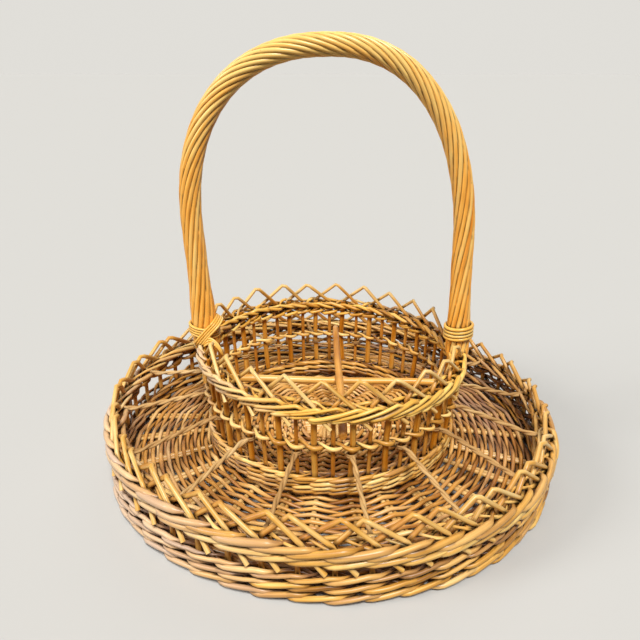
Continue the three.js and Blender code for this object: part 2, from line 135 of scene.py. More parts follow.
# %% [markdown]
# Colours are written as sRGB hex and turned to linear by one function, whose numbers are those of the
# sRGB standard. One more small function adds a node with its settings and its links, and every material
# below is built with it. A socket is named, or counted where several share a name.

# %% Node helpers
def linear(hex_colour):
    values = [int(hex_colour[i:i + 2], 16) / 255 for i in (1, 3, 5)]
    return tuple(v / 12.92 if v <= 0.04045 else ((v + 0.055) / 1.055) ** 2.4 for v in values) + (1.0,)


def add(tree, kind, settings=None, **links):
    node = tree.nodes.new(kind)
    for name, value in (settings or {}).items():
        setattr(node, name, value)
    for name, value in links.items():
        counted = name[1:]
        socket = node.inputs[int(counted) if counted.isdigit() else name.replace("_", " ")]
        if isinstance(value, bpy.types.NodeSocket):
            tree.links.new(value, socket)
        else:
            socket.default_value = value
    return node


print("linear mid straw:", [round(value, 3) for value in linear("#D2A35C")])

# %% [markdown]
# Buff willow is peeled after boiling, which stains the wood from cream to honey. A peeled rod has a
# satin skin with fine streaks along it, slow changes of tone, and a dark speck where a bud sat.
# Streaks have to follow the rod round every bend, so each rod carries its own straight coordinates in
# an attribute named grain, in metres: x and y across the rod, z along it. Three more attributes say how
# pale the rod is (tone, which also carries some painted light and shade), how pinkish grey it is (blush)
# and how dark the painted shade in its crevices is, at each point. Real streaks are about 0.3 mm wide,
# too fine to show in the picture, so they are drawn as coarse as they need to show.

# %% Willow material
STREAK_MM, STREAK_STRETCH = 1.7, 0.03
BLOTCH_MM, BLOTCH_SHARE = 22.0, 0.5
BUDS_APART_MM, BUD_EDGE, BUD_DARK, BUD_BROWN = 26.0, (0.03, 0.055), 0.75, "#4A2A12"
# Near-black brown of the painted shade where rods lie close together.
CREVICE_SHADE_BROWN = "#220F05"
TONE_PLACES = (0.0, 0.36, 0.68, 1.0)
SMOOTHER, ROUGHER = 0.09, 0.11
BUMP_STRENGTH, BUMP_MM = 0.35, 0.3
SKIN = {"IOR": 1.5, "Specular IOR Level": 0.35, "Coat Weight": 0.15, "Coat Roughness": 0.24}


def willow(name, deep, honey, straw, cream, blush, roughness=0.36, streaks=0.8):
    material = bpy.data.materials.new(name)
    material.use_nodes = True
    tree = material.node_tree
    shader = tree.nodes["Principled BSDF"]
    grain, tone, blushed, crevice_shade = (add(tree, "ShaderNodeAttribute", {"attribute_name": key})
                                  for key in ("grain", "tone", "blush", "crevice_shade"))
    lengthwise = add(tree, "ShaderNodeMapping", Vector=grain.outputs["Vector"],
                     Scale=(1.0, 1.0, STREAK_STRETCH))
    streak = add(tree, "ShaderNodeTexNoise", Vector=lengthwise.outputs[0],
                 Scale=TO_MM / STREAK_MM, Detail=2.0, Roughness=0.6)
    blotch = add(tree, "ShaderNodeTexNoise", Vector=grain.outputs["Vector"],
                 Scale=TO_MM / BLOTCH_MM, Detail=2.0, Roughness=0.5)
    streaked = add(tree, "ShaderNodeMath", {"operation": "MULTIPLY_ADD"},
                   _0=streak.outputs["Fac"], _1=streaks, _2=tone.outputs["Fac"])
    blotched = add(tree, "ShaderNodeMath", {"operation": "MULTIPLY_ADD"},
                   _0=blotch.outputs["Fac"], _1=BLOTCH_SHARE, _2=streaked.outputs[0])
    centred = add(tree, "ShaderNodeMath", {"operation": "SUBTRACT"},
                  _0=blotched.outputs[0], _1=(BLOTCH_SHARE + streaks) / 2)
    ramp = add(tree, "ShaderNodeValToRGB", _0=centred.outputs[0])
    stops = ramp.color_ramp.elements
    while len(stops) < len(TONE_PLACES):
        stops.new(0.5)
    for stop, place, hue in zip(stops, TONE_PLACES, (deep, honey, straw, cream)):
        stop.position = place
        stop.color = linear(hue)
    bud = add(tree, "ShaderNodeTexVoronoi", Vector=grain.outputs["Vector"],
              Scale=TO_MM / BUDS_APART_MM)
    speck = add(tree, "ShaderNodeMapRange", Value=bud.outputs["Distance"],
                From_Min=BUD_EDGE[0], From_Max=BUD_EDGE[1], To_Min=BUD_DARK, To_Max=0.0)
    colour = ramp.outputs["Color"]
    # The last mix lays the painted shade of the crevices over the colour.
    for amount, over in ((blushed.outputs["Fac"], blush), (speck.outputs[0], BUD_BROWN),
                         (crevice_shade.outputs["Fac"], CREVICE_SHADE_BROWN)):
        colour = add(tree, "ShaderNodeMix", {"data_type": "RGBA"},
                     _0=amount, _6=colour, _7=linear(over)).outputs[2]
    gloss = add(tree, "ShaderNodeMapRange", Value=streak.outputs["Fac"],
                To_Min=roughness - SMOOTHER, To_Max=roughness + ROUGHER)
    bump = add(tree, "ShaderNodeBump", Strength=BUMP_STRENGTH, Distance=MM * BUMP_MM,
               Height=streak.outputs["Fac"])
    tree.links.new(colour, shader.inputs["Base Color"])
    tree.links.new(gloss.outputs[0], shader.inputs["Roughness"])
    tree.links.new(bump.outputs[0], shader.inputs["Normal"])
    for socket, value in SKIN.items():
        shader.inputs[socket].default_value = value
    return material


print("streaks:", round(TO_MM / STREAK_MM), "to the metre")

# %% [markdown]
# One recipe serves every finish on the carrier, because willow, cane and straw are all streaked along
# their length. What differs is how old a rod is, how long it was boiled and how much it is handled.
# Each finish has four colours, from the darkest streak to the palest, and one that age turns it to,
# which at the far right also tints the painted shade.

# %% Willow finishes
# Weavers: satin straw, brown in the darkest rods and cream in the palest, pinkish grey where old,
# and the same grey as a tint of painted shade at the far right.
weaver_willow = willow("peeled_buff_willow_weavers",
                       "#74440A", "#C08632", "#E8B056", "#FCD684", "#DCC0A6")
# Rods of the ring's rim: the same skin, a little more golden.
rim_willow = willow("peeled_golden_willow_rim",
                    "#74440A", "#C88A2C", "#EEB44C", "#FFD676", "#DCC0A6")
# Floor: browner and more uneven, greyish where the tray is worn at the left, and greyish as a tint
# of painted shade at the back right.
floor_willow = willow("peeled_buff_willow_floor",
                      "#64360C", "#AC6E28", "#D89C4A", "#F8CA80", "#A68878")
# Stakes: stouter rods that boil to a deep honey brown, with clear gold on the outside of the loops.
stake_willow = willow("peeled_honey_willow_stakes",
                      "#7E3E02", "#BE7412", "#DDA64C", "#F0CC86", "#A87E52")
# Bow: rubbed by hands to an orange gold, with a tighter gleam than the rest.
handle_willow = willow("peeled_golden_willow_handle",
                       "#984A00", "#E08616", "#FFB444", "#FFD276", "#D0A078", roughness=0.3)
# Cane: split from its hard outer skin, so it is pale, bright and even.
cane = willow("split_pale_cane",
              "#965C18", "#D4902E", "#F2B850", "#FFDA84", "#C6A074")
# Crossed rods: thick sticks with a plain tan skin.
cross_willow = willow("stout_willow_rod",
                      "#7C460A", "#C47C20", "#E8A644", "#FACC78", "#B48A62")
print("willow finishes:", len([m for m in bpy.data.materials if "willow" in m.name or "cane" in m.name]))

# %% [markdown]
# A rod is easiest to draw as a curve: points down its middle, a radius at each, and a round bevel. A
# cut end is one last point of no radius, a hair past the end. Nothing made by hand is quite even, so
# chance moves and colours the rods a little, always from the same seed.

# %% Rod helpers
SEED, END_CAP = 1907, 0.06
chance = np.random.default_rng(SEED)


def wander(count, every, size):
    knots = max(int(count / every) + 3, 4)
    places = np.linspace(0, knots - 1, count)
    return np.interp(places, np.arange(knots), chance.normal(0.0, size, knots))


def walk(points):
    steps = np.linalg.norm(np.diff(points, axis=0), axis=1)
    return np.concatenate([[0.0], np.cumsum(steps)])


def unit(vectors):
    return vectors / np.linalg.norm(vectors, axis=-1, keepdims=True)


def rod(points, diameter, tone, blush=0.0, thin=0.0):
    points = np.asarray(points, float)
    count = len(points)
    radius = np.broadcast_to(np.asarray(diameter, float) / 2, count)
    radius = radius * blend(1.0 + thin / 2, 1.0 - thin / 2, np.linspace(0, 1, count))
    tone = np.broadcast_to(np.asarray(tone, float), count)
    blush = np.broadcast_to(np.asarray(blush, float), count)
    first = points[0] - END_CAP * unit(points[1] - points[0])
    last = points[-1] + END_CAP * unit(points[-1] - points[-2])
    return {"points": np.vstack([first, points, last]),
            "radius": np.pad(radius, 1),
            "tone": np.pad(tone, 1, mode="edge"),
            "blush": np.pad(blush, 1, mode="edge")}


print("chance starts from seed", SEED)

# %% [markdown]
# Blender's convert operator turns the curves into one mesh, ring by ring in the order of the points,
# which lets the attributes be written straight after. Merging by distance then closes the cut ends.
# Every rod is also kept in a list, because the last step on the carrier has to know where all of
# them lie.

# %% Bundles of rods
RING, MERGE_AT, ROD_CREASE = 10, 1e-6, 60
GRAIN_SHIFT = 4000
all_rods, all_pieces = [], []


def put(mesh, key, values):
    kind, field = ("FLOAT_VECTOR", "vector") if values.ndim == 2 else ("FLOAT", "value")
    mesh.attributes.new(key, kind, "POINT").data.foreach_set(field, values.ravel())


def settle(piece, finish, nodes):
    piece.data.materials.clear()
    piece.data.materials.append(finish)
    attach(piece, "root")
    if nodes:
        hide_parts(*nodes)
    all_pieces.append(piece)


def grain_of(each):
    turn = 2 * np.pi * np.arange(RING) / RING
    along = walk(each["points"]) + chance.uniform(0, GRAIN_SHIFT)
    across = chance.uniform(0, GRAIN_SHIFT)
    ring = np.stack([np.outer(each["radius"], np.cos(turn)) + across,
                     np.outer(each["radius"], np.sin(turn)),
                     np.repeat(along[:, None], RING, axis=1)], axis=-1)
    return MM * ring.reshape(-1, 3)


def bundle(name, rods, finish, nodes):
    curve = bpy.data.curves.new(name, "CURVE")
    curve.dimensions = "3D"
    curve.bevel_depth = MM
    curve.bevel_resolution = RING // 2 - 2
    curve.resolution_u = 1
    for each in rods:
        count = len(each["points"])
        spline = curve.splines.new("POLY")
        spline.points.add(count - 1)
        places = np.column_stack([each["points"] * MM, np.ones(count)])
        spline.points.foreach_set("co", places.ravel())
        spline.points.foreach_set("radius", each["radius"])
    piece = bpy.data.objects.new(name, curve)
    bpy.context.scene.collection.objects.link(piece)
    bpy.ops.object.select_all(action="DESELECT")
    piece.select_set(True)
    bpy.context.view_layer.objects.active = piece
    bpy.ops.object.convert(target="MESH")
    piece = bpy.context.view_layer.objects.active
    mesh = piece.data
    put(mesh, "grain", np.vstack([grain_of(each) for each in rods]))
    for key in ("tone", "blush"):
        put(mesh, key, np.concatenate([np.repeat(each[key], RING) for each in rods]))
    bpy.ops.object.mode_set(mode="EDIT")
    bpy.ops.mesh.select_all(action="SELECT")
    bpy.ops.mesh.remove_doubles(threshold=MERGE_AT)
    bpy.ops.object.mode_set(mode="OBJECT")
    bpy.ops.object.shade_smooth_by_angle(angle=math.radians(ROD_CREASE))
    settle(piece, finish, nodes)
    all_rods.extend(rods)
    triangles = sum(len(face.vertices) - 2 for face in mesh.polygons)
    print(name, "has", len(rods), "rods and", triangles, "triangles")
    return piece


print("a rod has", RING, "sides")

# %% [markdown]
# The floor starts from a cross of sticks, seven one way and six the other. Their ends are spread
# into spokes, and thinner rods are woven over one spoke and under the next, row upon row, while the
# whole is pulled into a shallow dome. Near the wall each spoke gets a slimmer rod beside it, a stake
# of the wall, pushed in there to hold it.

# %% Floor spokes
FLOOR_DROP, FLOOR_EDGE = 12.5, 178.8
SPOKES, CROSS_STICKS = 26, (7, 6, 7, 6)
SPOKE_ROD, SIDE_ROD, FLOOR_ROD = 4.0, 3.2, 3.3
STICK_GAP, SPREAD_FROM, SPREAD_TO, SPOKE_STRAY = 0.3, 20.0, 62.0, 0.012
SPOKE_DEPTH, CROSS_LIFT, LIFT_FULL, LIFT_NONE = 4.9, 1.2, 12.0, 34.0
SIDE_START, SIDE_STRAY = 116.0, 12.0
SPOKE_POINTS, SIDE_POINTS = 42, 18
SPOKE_TONE, SIDE_TONE = 0.9, 0.85


def floor_dome(radius):
    return FLOOR_CROWN - FLOOR_DROP * (radius / FLOOR_EDGE) ** 2


spoke_start = [(quarter, stick - (sticks - 1) / 2)
               for quarter, sticks in enumerate(CROSS_STICKS) for stick in range(sticks)]
spoke_jitter = chance.normal(0.0, SPOKE_STRAY, SPOKES)


def spoke_points(spoke, radius, aside=0.0):
    quarter, offset = spoke_start[spoke]
    radius = np.asarray(radius, float)
    off_centre = np.maximum(radius, 1.0)
    straight = np.arctan2(offset * (SPOKE_ROD + STICK_GAP), off_centre) + quarter * math.pi / 2
    opened = 2 * math.pi * (spoke - (CROSS_STICKS[0] - 1) / 2) / SPOKES + spoke_jitter[spoke]
    angle = blend(straight, opened, smooth(share(SPREAD_FROM, SPREAD_TO, radius)))
    angle = angle + aside / off_centre
    height = floor_dome(radius) - SPOKE_DEPTH
    return np.stack([radius * np.cos(angle), radius * np.sin(angle), height], -1)


spokes = []
for spoke in range(SPOKES):
    lift = CROSS_LIFT if spoke_start[spoke][0] % 2 else -CROSS_LIFT
    radius = np.linspace(1.0, FLOOR_EDGE - 1.0, SPOKE_POINTS)
    line = spoke_points(spoke, radius)
    line[:, 2] += lift * (1 - share(LIFT_FULL, LIFT_NONE, radius))
    spokes.append(rod(line, SPOKE_ROD, SPOKE_TONE + chance.normal(0, 0.07)))
    side_start = SIDE_START + chance.uniform(-SIDE_STRAY, SIDE_STRAY)
    radius = np.linspace(side_start, FLOOR_EDGE - 0.5, SIDE_POINTS)
    line = spoke_points(spoke, radius, (SPOKE_ROD + SIDE_ROD) / 2)
    spokes.append(rod(line, SIDE_ROD, SIDE_TONE + chance.normal(0, 0.08)))
bundle("floor_spokes", spokes, floor_willow, ["floor_mat"])

# %% [markdown]
# Each row of the floor is bent sharply where it crosses a spoke and runs straight between two. The
# row beside it goes the other way, so along a spoke every second rod lies on top, and the spoke
# shows between them. The tone of a row changes with its place, x to the right and y to the back, by
# painted light and shade: paler at the left and where the rod lies on top, darker where it goes under,
# at the right and at the front, and a painted shadow inside the front of the ring.

# %% Floor rows
FLOOR_HEART, FLOOR_ROWS, FLOOR_ROW_STEPS, ROW_OVERLAP = 25.0, 47, 8, 3
KNEE, ROW_PRESS, ROW_STRAY = 0.985, 0.2, (0.25, 0.25, 0.2)
ROW_TONE, LEFT_PAINTED_LIGHT, OVER_UNDER_PAINTED_LIGHT = 0.53, 0.05, 0.16
RIGHT_PAINTED_SHADE, FRONT_PAINTED_SHADE, RING_PAINTED_SHADOW = 0.1, 0.02, 0.2
ROW_BLUSH, LEFT_BLUSH, BACK_RIGHT_SHADE_TINT, MOST_BLUSH = 0.04, 0.1, 0.4, 0.7
row_radii = np.linspace(FLOOR_HEART, FLOOR_EDGE, FLOOR_ROWS, endpoint=False)


def floor_row(row, radius):
    swing = (SPOKE_ROD + FLOOR_ROD) / 2 - ROW_PRESS
    turn = np.linspace(0, 1, FLOOR_ROW_STEPS, endpoint=False)
    points, above = [], []
    for spoke in range(SPOKES):
        here, there = spoke_points(spoke, radius), spoke_points((spoke + 1) % SPOKES, radius)
        start = math.atan2(here[1], here[0])
        step = (math.atan2(there[1], there[0]) - start) % (2 * math.pi)
        angle = start + step * turn
        side = 1.0 if (spoke + row) % 2 == 0 else -1.0
        wave = side * np.arcsin(KNEE * np.cos(np.pi * turn)) / math.asin(KNEE)
        height = floor_dome(radius) - SPOKE_DEPTH + swing * wave
        points.append(np.stack([radius * np.cos(angle), radius * np.sin(angle), height], -1))
        above.append(wave)
    cut = int(chance.integers(0, SPOKES)) * FLOOR_ROW_STEPS
    points, above = np.roll(np.vstack(points), -cut, axis=0), np.roll(np.concatenate(above), -cut)
    points = np.vstack([points, points[:ROW_OVERLAP]])
    above = np.concatenate([above, above[:ROW_OVERLAP]])
    points += np.column_stack([wander(len(points), FLOOR_ROW_STEPS, size) for size in ROW_STRAY])
    return points, above


floor_rows = []
for row, radius in enumerate(row_radii):
    loop, above = floor_row(row, radius)
    x, y = loop[:, 0], loop[:, 1]
    left = share(60.0, -150.0, x)
    right = share(20.0, 130.0, x)
    front = share(-40.0, -130.0, y) * share(-110.0, -60.0, x)
    far = share(40.0, 120.0, x) * share(-50.0, 40.0, y)
    in_ring = share(0.0, -50.0, y) * share(96.0, 84.0, radius)
    # Painted light and shade: paler at the left and on top of a spoke, darker under one, at the right,
    # at the front and in the shadow inside the ring's front.
    tone = ROW_TONE + LEFT_PAINTED_LIGHT * left - RIGHT_PAINTED_SHADE * right
    tone = tone - FRONT_PAINTED_SHADE * front + OVER_UNDER_PAINTED_LIGHT * above - RING_PAINTED_SHADOW * in_ring
    tone = tone + chance.normal(0, 0.1) + wander(len(loop), 20, 0.1)
    # The grey at the back right is a tint of painted shade. At the left it is wear.
    blush = ROW_BLUSH + (LEFT_BLUSH * left + BACK_RIGHT_SHADE_TINT * far) * share(100.0, 130.0, radius)
    blush = np.clip(blush + chance.normal(0, 0.12), 0, MOST_BLUSH)
    floor_rows.append(rod(loop, FLOOR_ROD * chance.uniform(0.92, 1.08), tone, blush, thin=0.12))
bundle("floor_rows", floor_rows, floor_willow, ["floor_mat"])

# %% [markdown]
# A wale is a rope of three or four rods worked round the stakes. Each rod passes in front of all but
# one stake, then behind one, and each starts a stake after the last. On the outside a rod comes out
# low, climbs across the front and dives in behind the next rod, which makes the slanting strokes. The
# same function with two rods gives pairing, a row of short oval strokes. A rod is pinched where it
# changes sides and full where it lies free. Rods run out after a hand's breadth or three, so a round
# is made of several, each with its own thickness and tone.
#
# A row is given by its height, the rod's diameter, how far a stroke rises, how far out it lies where it
# shows and where it is hidden, the number of rods and the stake it starts from. The rest says how it
# is worked and coloured. The shade given to a row is painted shade, which darkens a rod where it is
# hidden behind a stake or under the next rod. Old rods turn pinkish grey at the left. At the far right
# the rods are darkened with painted shade and tinted grey with it.

# %% Wale helper
COMES_OUT, GOES_IN, BEHIND, OVERLAP = 0.4, 1.1, 0.1, 0.3
STROKE_TIP, STROKE_BELLY, STROKE_TAPER = 0.62, 1.08, 1.3
SHORTEST, LONGEST, LEAST_LEFT, ROD_TAPER = 12, 25, 3, 0.16
THINNEST, THICKEST = 0.76, 1.14
TONE_SPREAD, TONE_WANDER, FAR_RIGHT_PAINTED_SHADE, PALEST = 0.18, 0.11, 0.3, 0.84
PINK_SPREAD, PINKEST, FAR_RIGHT_SHADE_TINT = 0.1, 0.85, 0.35


def far_right(line):
    return share(20.0, 110.0, line[:, 0]) * share(-30.0, 50.0, line[:, 1])


# Pinkish grey at the left is age. At the far right the same tint goes with painted shade.
def weathered_left_shaded_right(strength):
    def at_line(line):
        left = share(-20.0, -170.0, line[:, 0]) * share(70.0, -10.0, line[:, 1])
        return strength * np.maximum(left, FAR_RIGHT_SHADE_TINT * far_right(line))
    return at_line


def wale(wall, middle, diameter, rise, shown, hidden, rods, phase=0, steps=7, tone=0.7,
         blush=None, wobble=0.6, bulge=1.0, lowest=-1.0, shade=0.0, goes_in=GOES_IN, dive=1.0,
         behind=BEHIND, tip=STROKE_TIP):
    made = []
    rounds = STAKES // rods
    if rods == 2:
        goes_in, behind = 1 - COMES_OUT, 0.0
    for number in range(rods):
        first, begun = int(chance.integers(0, rounds)), 0
        while begun < rounds:
            length = int(chance.integers(SHORTEST, LONGEST)) // rods
            if rounds - begun - length < LEAST_LEFT:
                length = rounds - begun
            start = number + phase + rods * (first + begun)
            at = np.arange(start - OVERLAP, start + rods * length + OVERLAP, 1.0 / steps)
            since = (at - start) % rods
            forward = smooth(np.minimum(share(behind, 1, since),
                                        share(rods - behind, rods - dive, since)))
            since = np.where(since < COMES_OUT, since + rods, since)
            across = share(COMES_OUT, rods - goes_in, since)
            climb = 2 * across - 1 - 2 * share(rods - goes_in, rods + COMES_OUT, since)
            out = blend(hidden, shown, forward)
            out = out + math.copysign(bulge, shown) * np.sin(np.pi * across)
            out = out + wander(len(at), 2 * steps, wobble)
            height = middle + rise * climb + wander(len(at), 2 * steps, wobble)
            fullness = blend(tip, STROKE_BELLY, np.abs(2 * forward - 1) ** STROKE_TAPER)
            thick = diameter * chance.uniform(THINNEST, THICKEST) * fullness
            height = np.maximum(height, lowest + thick / 2)
            line = wall(at, out, height)
            colour = min(tone + chance.normal(0, TONE_SPREAD), PALEST)
            # Painted shade: darker where the rod is hidden behind a stake or under the next rod, and at
            # the far right.
            colour = colour + wander(len(at), 2 * steps, TONE_WANDER) - shade * (1 - forward)
            colour = colour - FAR_RIGHT_PAINTED_SHADE * far_right(line)
            pink = np.zeros(len(at)) if blush is None else blush(line)
            pink = np.clip((pink + chance.normal(0, PINK_SPREAD)) * forward, 0, PINKEST)
            made.append(rod(line, thick, colour, pink, ROD_TAPER))
            begun += length
    return made


print("a rod of a wale passes", SHORTEST, "to", LONGEST - 1, "stakes")

# %% [markdown]
# The outer wall stands on a foot of stout rods. Above it come two rows of a lighter wale, then small
# windows where only the stakes show, then the wale that holds the border down. A wale shows long
# strokes on one side only, so the wall is lined with rows that show theirs inside.

# %% Outer wall
def numbered(name, count):
    return [f"{name}_{i}" for i in range(1, count + 1)]


foot = wale(outer_wall, middle=4.6, diameter=3.9, rise=2.7, shown=5.0, hidden=-4.0, rods=3,
            tone=0.48, blush=weathered_left_shaded_right(0.8), bulge=0.4, lowest=0.2, shade=0.8)
bundle("foot_wale", foot, weaver_willow, ["foot_ring"])
lower = []
for phase, height, diameter, shown in ((1, 12.4, 3.2, 4.6), (2, 19.8, 3.1, 4.4)):
    lower += wale(outer_wall, middle=height, diameter=diameter, rise=2.6, shown=shown, hidden=-4.0,
                  rods=3, phase=phase, tone=0.43, blush=weathered_left_shaded_right(0.8), shade=1.0)
for row, height in enumerate((11.0, 17.8)):
    lower += wale(outer_wall, middle=height, diameter=3.0, rise=2.3, shown=-5.2, hidden=1.5,
                  rods=3, phase=row, tone=0.36, blush=weathered_left_shaded_right(0.3), shade=0.6)
bundle("outer_lower_weave", lower, weaver_willow, numbered("outer_weave", 4))
rim = wale(outer_wall, middle=35.8, diameter=4.7, rise=3.2, shown=5.8, hidden=-3.8, rods=3, phase=1,
           tone=0.74, blush=weathered_left_shaded_right(0.65), wobble=0.8, shade=0.6, goes_in=0.75, dive=0.8, behind=0.0)
rim += wale(outer_wall, middle=42.4, diameter=4.9, rise=3.5, shown=6.2, hidden=-3.4, rods=3, phase=0,
            tone=0.75, blush=weathered_left_shaded_right(0.65), wobble=0.75, shade=0.6, goes_in=0.7, dive=0.75, behind=0.0)
rim += wale(outer_wall, middle=44.2, diameter=3.5, rise=3.4, shown=-5.2, hidden=2.6, rods=3, phase=2,
            tone=0.68, blush=weathered_left_shaded_right(0.3), wobble=0.7, goes_in=0.8)
bundle("outer_rim_wale", rim, weaver_willow, numbered("outer_wale", 3))

# %% [markdown]
# A trellis border is made from the stakes themselves. A stake leaves the wale, leans over, is kinked
# at its peak and comes down in front of the next stake but one, where it is pushed through the wale
# and cut off below it. Each kink is nearly sharp, so a leg is two straight runs with a short flat
# between them. The leg that comes down lies outside and has a clear golden skin. The one that goes up
# lies inside and is duller, least so at the right, where it faces the light. Each corner of a path is
# a place on the wall: stakes along, how far out, and how high.

# %% Outer stakes and border
STAKE_FOOT, WINDOW_TOP, LEAVES_WALE = 4.0, 30.0, 46.0
ENTERS_WALE, IN_WALE, CUT_BELOW = 47.0, 36.0, 27.2
PEAK_RISE, PEAK_STRAY, LEAN, LEAN_STRAY = 15.5, 0.9, 0.16, 0.05
UP_ROD, DOWN_ROD, OVER_PEAK = 4.0, 3.6, (0.52, 0.6)
UP_TONE, UP_PALER, RIGHT_SIDE = 0.5, 0.24, (60.0, 180.0)
DOWN_TONE, UP_BLUSH = 0.78, 0.25


def straight_runs(corners, spacing=3.5):
    line = [corners[0]]
    for here, there in zip(corners[:-1], corners[1:]):
        steps = max(int(np.linalg.norm(there - here) / spacing), 1)
        line.extend(blend(here, there, (i + 1) / steps) for i in range(steps))
    return np.array(line)


outer_border = []
for stake in range(STAKES):
    lean = (LEAN if stake % 2 else -LEAN) + chance.normal(0, LEAN_STRAY)
    peak = stake + 1 + lean
    high = OUTER_WALE_TOP + PEAK_RISE + chance.normal(0, PEAK_STRAY)
    land = stake + 2 + 0.5 * lean
    corners = ((stake, 0.0, STAKE_FOOT), (stake, 0.0, WINDOW_TOP), (stake, -0.6, LEAVES_WALE),
               (peak - 0.05, -3.0, high), (peak + 0.06, -0.6, high + 0.2),
               (land, 3.4, ENTERS_WALE), (land + 0.26, 3.8, IN_WALE), (land + 0.64, 7.2, CUT_BELOW))
    line = straight_runs([outer_wall(*corner) for corner in corners])
    going_down = share(*OVER_PEAK, np.linspace(0, 1, len(line)))
    thick = blend(UP_ROD, DOWN_ROD, going_down) * chance.uniform(0.93, 1.07)
    going_up = UP_TONE + UP_PALER * share(*RIGHT_SIDE, line[:, 0])
    tone = blend(going_up, DOWN_TONE, going_down) + chance.normal(0, 0.07)
    outer_border.append(rod(line, thick, tone, blend(UP_BLUSH, 0.0, going_down), thin=0.04))
bundle("outer_border", outer_border, stake_willow, ["outer_stakes_border"])

# %% [markdown]
# The inner ring is woven in the same way. Its foot is lined inside, like the outer wall. Half way up
# runs one row of pairing, whose strokes slant the other way, and its rim is a wale of four rods over
# one of three, with a last one inside.

# %% Inner ring
inner_foot = []
for row, height in enumerate((24.8, 28.9, 33.0, 36.9)):
    inner_foot += wale(inner_wall, middle=height, diameter=3.1, rise=1.1, shown=3.6, hidden=-3.2,
                       rods=3, phase=row, steps=6, tone=0.62, blush=weathered_left_shaded_right(0.5), wobble=0.3,
                       bulge=0.5, shade=0.6)
for row, height in enumerate((26.4, 30.8, 35.2)):
    inner_foot += wale(inner_wall, middle=height, diameter=3.0, rise=1.1, shown=-5.4, hidden=1.0,
                       rods=3, phase=row + 1, steps=6, tone=0.5, wobble=0.3, bulge=0.5, shade=0.6)
bundle("inner_foot_wale", inner_foot, weaver_willow, numbered("inner_foot_weave", 3))
pairing = wale(inner_wall, middle=66.0, diameter=3.3, rise=-1.0, shown=4.0, hidden=-3.8, rods=2,
               steps=8, tone=0.64, blush=weathered_left_shaded_right(0.5), wobble=0.3, bulge=0.2, tip=0.72)
bundle("inner_pairing", pairing, weaver_willow, numbered("inner_mid_weave", 2))
top = wale(inner_wall, middle=96.2, diameter=3.3, rise=5.2, shown=5.2, hidden=-3.2, rods=4,
           tone=0.78, blush=weathered_left_shaded_right(1.2), wobble=0.8, shade=0.5, goes_in=0.8, dive=0.6)
top += wale(inner_wall, middle=91.2, diameter=3.0, rise=2.0, shown=4.6, hidden=-3.8, rods=3, phase=1,
            steps=6, tone=0.76, blush=weathered_left_shaded_right(1.2), behind=0.3)
top += wale(inner_wall, middle=97.8, diameter=3.3, rise=2.3, shown=-4.8, hidden=2.0, rods=3, phase=2,
            steps=6, tone=0.8, blush=weathered_left_shaded_right(0.2))
bundle("inner_rim_wale", top, rim_willow, numbered("inner_wale", 3))

# %% [markdown]
# The ring's stakes are thick and thin by turns. Only the thin ones go over into loops. The thick ones
# end in the wale, and the loops are tucked in beside them. The stakes are parted at the bow, so there
# is a piece for the back and one for the front, and a few plain uprights stand next to the bow's feet.

# %% Inner stakes and border
INNER_PEAK = INNER_WALE_TOP + 17.5
LOOP_MIDDLE, LOOP_LEAVES, LOOP_ENTERS, LOOP_IN, LOOP_CUT = 60.0, 100.5, 101.5, 93.0, 84.5
LOOP_ROD, THICK_UPRIGHT, THIN_UPRIGHT, OVER_LOOP = 3.2, 4.8, 3.4, (0.62, 0.7)
LOOP_LOW_TONE, LOOP_HIGH_TONE, LOOP_DOWN_TONE, UPRIGHT_TONE = 0.4, 0.66, 0.84, 0.43
UPRIGHT_MIDDLE, LOOP_BLUSH, OUT_OF_WALE = 62.0, 0.12, (96.0, 104.0)
LOOPED, THICK, PLAIN = range(2, 21, 2), range(5, 24, 2), (1, 3, 22)


def inner_loop(stake):
    peak = stake + 1.5 + chance.normal(0, 0.05)
    high = INNER_PEAK + chance.normal(0, 0.8)
    land = stake + 3
    corners = ((stake, 0.0, INNER_STAKE_FOOT), (stake, 0.0, LOOP_MIDDLE), (stake, -0.4, LOOP_LEAVES),
               (peak - 0.1, -2.6, high), (peak + 0.1, 0.2, high),
               (land, 3.0, LOOP_ENTERS), (land + 0.25, 3.6, LOOP_IN), (land + 0.85, 6.8, LOOP_CUT))
    line = straight_runs([inner_wall(*corner) for corner in corners])
    down = share(*OVER_LOOP, np.linspace(0, 1, len(line)))
    up = share(*OUT_OF_WALE, line[:, 2])
    tone = blend(blend(LOOP_LOW_TONE, LOOP_HIGH_TONE, up), LOOP_DOWN_TONE, down)
    tone = tone + chance.normal(0, 0.06)
    return rod(line, LOOP_ROD * chance.uniform(0.94, 1.06), tone, blend(LOOP_BLUSH, 0.0, down))


def inner_upright(stake, thick):
    shift = chance.normal(0, 0.06)
    corners = ((stake + shift, 0.0, INNER_STAKE_FOOT), (stake - shift, 0.0, UPRIGHT_MIDDLE),
               (stake, 0.2, LOOP_ENTERS))
    line = straight_runs([inner_wall(*corner) for corner in corners])
    thick = thick * chance.uniform(0.94, 1.06)
    return rod(line, thick, UPRIGHT_TONE + chance.normal(0, 0.13), thin=0.06)


for side, first in (("back", 0), ("front", STAKES // 2)):
    ring = [inner_loop(first + stake) for stake in LOOPED]
    ring += [inner_upright(first + stake, THICK_UPRIGHT) for stake in THICK]
    ring += [inner_upright(first + stake, THIN_UPRIGHT) for stake in PLAIN]
    bundle(f"inner_border_{side}", ring, stake_willow, [f"inner_stakes_border_{side}"])

# %% [markdown]
# The bow's line is a straight leg at each side and a shoulder that is a little squarer than a circle.
# It is drawn by formula, laid out again in even steps and eased, so that no corner is left where a leg
# meets its shoulder.

